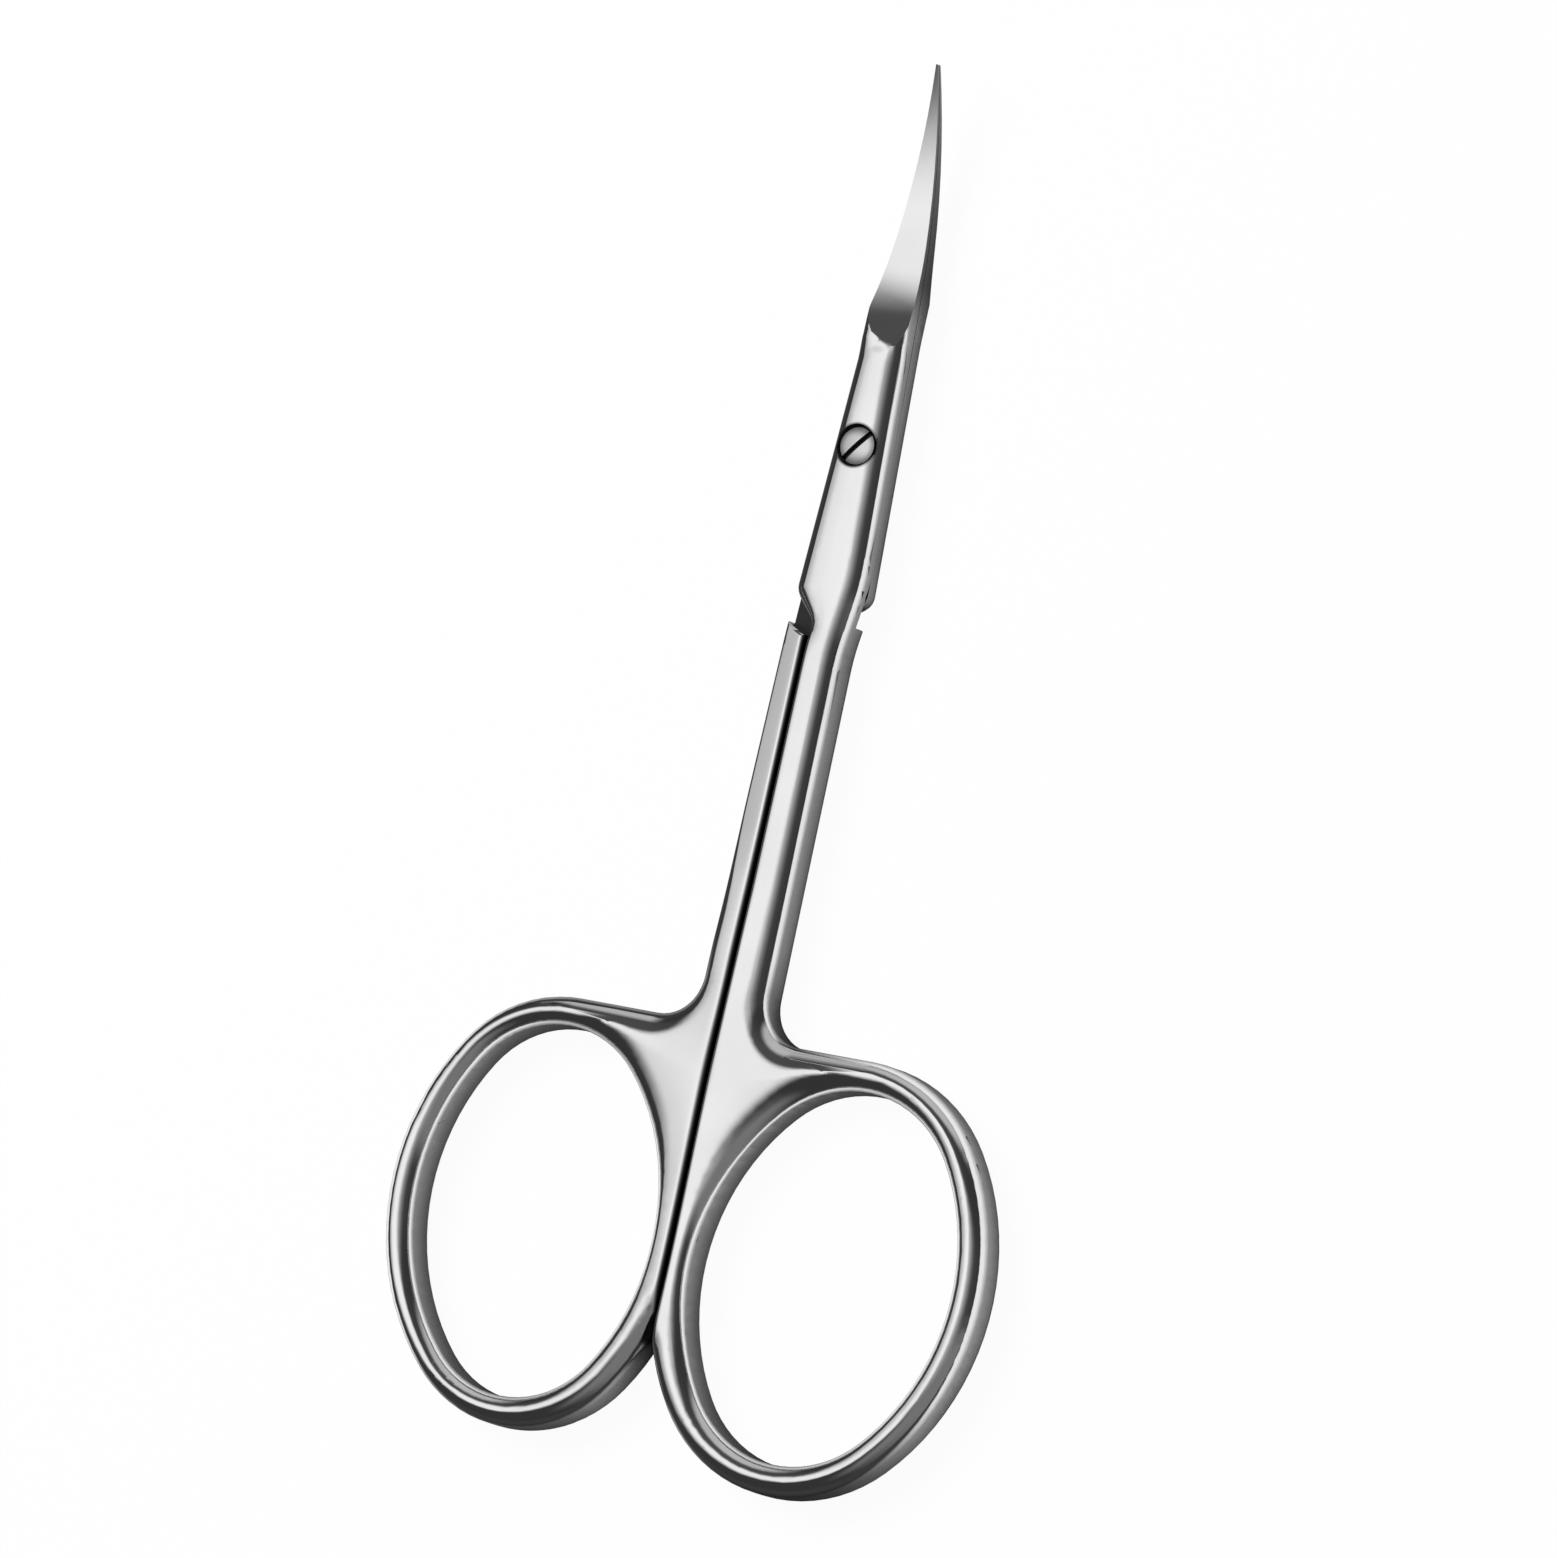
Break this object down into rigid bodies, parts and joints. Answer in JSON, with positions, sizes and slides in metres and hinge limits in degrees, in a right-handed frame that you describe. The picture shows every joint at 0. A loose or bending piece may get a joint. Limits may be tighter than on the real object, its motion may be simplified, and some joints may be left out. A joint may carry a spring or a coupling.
{
  "type": "cuticle scissors",
  "caption": "Curved cuticle scissors: lapped steel halves that open on a slotted pivot screw, with fine upturned blades and oval finger rings.",
  "frame": {"origin": "middle of the closed tool's outline, on the plane that it lies on", "axes": "+Y towards the blade tips, +Z along the pivot screw towards its slotted head, +X towards the front half's finger ring"},
  "size_m": [0.045, 0.095, 0.0038],
  "materials": {
    "polished_steel": "polished stainless steel with fine polishing lines",
    "screw_steel": "polished steel, turned head with a sawn slot"
  },
  "bodies": {
    "back": {"back_half": "polished_steel", "pivot_screw": "screw_steel"},
    "front": {"front_half": "polished_steel"}
  },
  "joints": [
    {"name": "pivot", "type": "hinge", "parent": "back", "child": "front", "pos_m": [0.00012, 0.02168, 0.0017], "axis": [0, 0, 1], "range_deg": [0, 60]}
  ]
}
